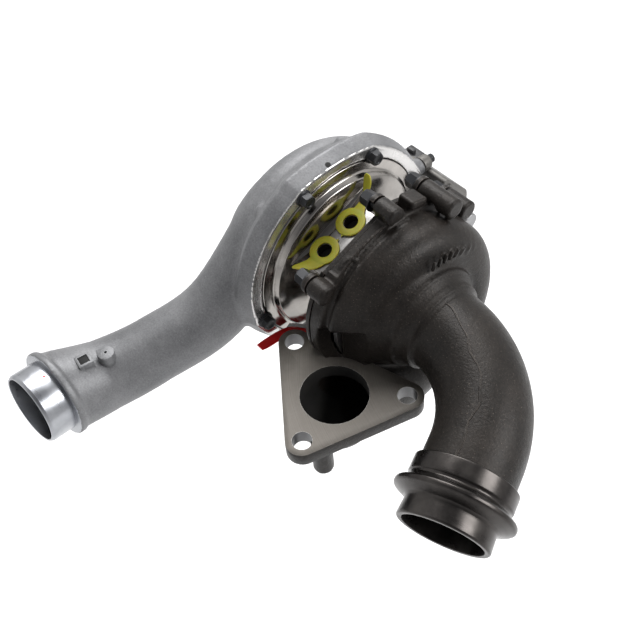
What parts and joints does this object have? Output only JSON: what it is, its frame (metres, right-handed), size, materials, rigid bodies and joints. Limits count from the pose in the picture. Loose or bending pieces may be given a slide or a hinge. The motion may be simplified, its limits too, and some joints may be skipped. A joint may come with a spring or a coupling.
{
  "type": "variable-nozzle turbocharger",
  "caption": "Turbocharger: cast compressor cover with a long discharge tube, bearing housing, iron turbine housing with a triangular inlet flange and an outlet elbow, and a vane actuator.",
  "frame": {"origin": "centre of the turbine inlet port, on the face of its triangular flange", "axes": "+Z out of the inlet flange, square to its face; the shaft runs along X with the turbine towards +X and the compressor towards -X; the discharge tube runs towards -Y"},
  "size_m": [0.2877, 0.3105, 0.1507],
  "materials": {
    "cast_aluminium": "sand cast",
    "dark_cast_iron": "rough cast",
    "turned_iron": "turned",
    "steel": "satin",
    "black_bolt": "black phosphate",
    "bronze": "satin",
    "wheel_aluminium": "machined",
    "rubber": "matte",
    "yellow_seal": "translucent",
    "red_seal": "matte",
    "black_plastic": "matte",
    "actuator_casting": "die cast"
  },
  "bodies": {
    "housings": {"actuator_body": "actuator_casting", "actuator_connector": "black_plastic", "actuator_cover": "black_plastic", "actuator_screw_1": "steel", "actuator_screw_2": "steel", "actuator_screw_3": "steel", "bearing_housing": "turned_iron", "bearing_spacer": "steel", "compressor_bolt_1": "black_bolt", "compressor_bolt_2": "black_bolt", "compressor_bolt_3": "black_bolt", "compressor_bolt_4": "black_bolt", "compressor_bolt_5": "black_bolt", "compressor_bolt_6": "black_bolt", "compressor_cover": "cast_aluminium", "cover_o_ring": "rubber", "crank_bushing": "bronze", "drain_seal": "red_seal", "heat_shield": "steel", "nozzle_insert": "steel", "nozzle_ring": "steel", "piston_ring": "steel", "port_seal_1": "yellow_seal", "port_seal_2": "yellow_seal", "seal_plate": "steel", "thrust_bearing": "bronze", "turbine_bolt_1": "black_bolt", "turbine_bolt_2": "black_bolt", "turbine_bolt_3": "black_bolt", "turbine_bolt_4": "black_bolt", "turbine_bolt_5": "black_bolt", "turbine_bolt_6": "black_bolt", "turbine_housing": "dark_cast_iron"},
    "rotor": {"turbine_wheel_shaft": "steel", "thrust_collar": "steel", "oil_flinger": "steel", "compressor_wheel": "wheel_aluminium", "lock_nut": "steel"},
    "floating_bearing_front": {"journal_bearing_front": "bronze"},
    "floating_bearing_rear": {"journal_bearing_rear": "bronze"},
    "actuator_arm": {"actuator_arm": "steel"},
    "link_rod": {"link_rod": "steel"},
    "crank": {"vnt_crank": "steel"},
    "unison_ring": {"unison_ring": "steel"},
    "vane_1": {"nozzle_vane_1": "steel"},
    "vane_2": {"nozzle_vane_2": "steel"},
    "vane_3": {"nozzle_vane_3": "steel"},
    "vane_4": {"nozzle_vane_4": "steel"},
    "vane_5": {"nozzle_vane_5": "steel"},
    "vane_6": {"nozzle_vane_6": "steel"},
    "vane_7": {"nozzle_vane_7": "steel"},
    "vane_8": {"nozzle_vane_8": "steel"},
    "vane_9": {"nozzle_vane_9": "steel"},
    "vane_10": {"nozzle_vane_10": "steel"},
    "vane_11": {"nozzle_vane_11": "steel"}
  },
  "joints": [
    {"name": "rotor_spin", "type": "hinge", "parent": "housings", "child": "rotor", "pos_m": [-0.0684, 0.0682, 0.02], "axis": [1, 0, 0], "continuous": true},
    {"name": "front_bearing_spin", "type": "hinge", "parent": "housings", "child": "floating_bearing_front", "pos_m": [-0.0604, 0.0682, 0.02], "axis": [1, 0, 0], "continuous": true},
    {"name": "rear_bearing_spin", "type": "hinge", "parent": "housings", "child": "floating_bearing_rear", "pos_m": [-0.0414, 0.0682, 0.02], "axis": [1, 0, 0], "continuous": true},
    {"name": "actuator_swing", "type": "hinge", "parent": "housings", "child": "actuator_arm", "pos_m": [-0.0684, 0.1602, -0.004], "axis": [1, 0, 0], "range_deg": [-20, 20]},
    {"name": "link_swing", "type": "hinge", "parent": "actuator_arm", "child": "link_rod", "pos_m": [-0.0414, 0.1602, -0.02], "axis": [1, 0, 0], "range_deg": [-20, 20]},
    {"name": "crank_turn", "type": "hinge", "parent": "housings", "child": "crank", "pos_m": [-0.0384, 0.111, 0.0077], "axis": [1, 0, 0], "range_deg": [-20, 20]},
    {"name": "unison_turn", "type": "hinge", "parent": "housings", "child": "unison_ring", "pos_m": [-0.0228, 0.0682, 0.02], "axis": [1, 0, 0], "range_deg": [-3.6, 3.6]},
    {"name": "vane_1_turn", "type": "hinge", "parent": "housings", "child": "vane_1", "pos_m": [-0.0189, 0.09692, 0.02404], "axis": [1, 0, 0], "range_deg": [-18, 18]},
    {"name": "vane_2_turn", "type": "hinge", "parent": "housings", "child": "vane_2", "pos_m": [-0.0189, 0.09018, 0.03892], "axis": [1, 0, 0], "range_deg": [-18, 18]},
    {"name": "vane_3_turn", "type": "hinge", "parent": "housings", "child": "vane_3", "pos_m": [-0.0189, 0.07646, 0.0478], "axis": [1, 0, 0], "range_deg": [-18, 18]},
    {"name": "vane_4_turn", "type": "hinge", "parent": "housings", "child": "vane_4", "pos_m": [-0.0189, 0.06012, 0.04785], "axis": [1, 0, 0], "range_deg": [-18, 18]},
    {"name": "vane_5_turn", "type": "hinge", "parent": "housings", "child": "vane_5", "pos_m": [-0.0189, 0.04634, 0.03906], "axis": [1, 0, 0], "range_deg": [-18, 18]},
    {"name": "vane_6_turn", "type": "hinge", "parent": "housings", "child": "vane_6", "pos_m": [-0.0189, 0.03951, 0.02422], "axis": [1, 0, 0], "range_deg": [-18, 18]},
    {"name": "vane_7_turn", "type": "hinge", "parent": "housings", "child": "vane_7", "pos_m": [-0.0189, 0.04178, 0.00804], "axis": [1, 0, 0], "range_deg": [-18, 18]},
    {"name": "vane_8_turn", "type": "hinge", "parent": "housings", "child": "vane_8", "pos_m": [-0.0189, 0.05244, -0.00435], "axis": [1, 0, 0], "range_deg": [-18, 18]},
    {"name": "vane_9_turn", "type": "hinge", "parent": "housings", "child": "vane_9", "pos_m": [-0.0189, 0.06811, -0.009], "axis": [1, 0, 0], "range_deg": [-18, 18]},
    {"name": "vane_10_turn", "type": "hinge", "parent": "housings", "child": "vane_10", "pos_m": [-0.0189, 0.0838, -0.00445], "axis": [1, 0, 0], "range_deg": [-18, 18]},
    {"name": "vane_11_turn", "type": "hinge", "parent": "housings", "child": "vane_11", "pos_m": [-0.0189, 0.09454, 0.00787], "axis": [1, 0, 0], "range_deg": [-18, 18]}
  ],
  "couplings": [
    {"joint": "link_swing", "follows": "actuator_swing", "ratio": -1},
    {"joint": "crank_turn", "follows": "actuator_swing", "ratio": 1},
    {"joint": "unison_turn", "follows": "actuator_swing", "ratio": -0.17091},
    {"joint": "vane_1_turn", "follows": "actuator_swing", "ratio": -0.87897},
    {"joint": "vane_2_turn", "follows": "actuator_swing", "ratio": -0.87897},
    {"joint": "vane_3_turn", "follows": "actuator_swing", "ratio": -0.87897},
    {"joint": "vane_4_turn", "follows": "actuator_swing", "ratio": -0.87897},
    {"joint": "vane_5_turn", "follows": "actuator_swing", "ratio": -0.87897},
    {"joint": "vane_6_turn", "follows": "actuator_swing", "ratio": -0.87897},
    {"joint": "vane_7_turn", "follows": "actuator_swing", "ratio": -0.87897},
    {"joint": "vane_8_turn", "follows": "actuator_swing", "ratio": -0.87897},
    {"joint": "vane_9_turn", "follows": "actuator_swing", "ratio": -0.87897},
    {"joint": "vane_10_turn", "follows": "actuator_swing", "ratio": -0.87897},
    {"joint": "vane_11_turn", "follows": "actuator_swing", "ratio": -0.87897}
  ]
}
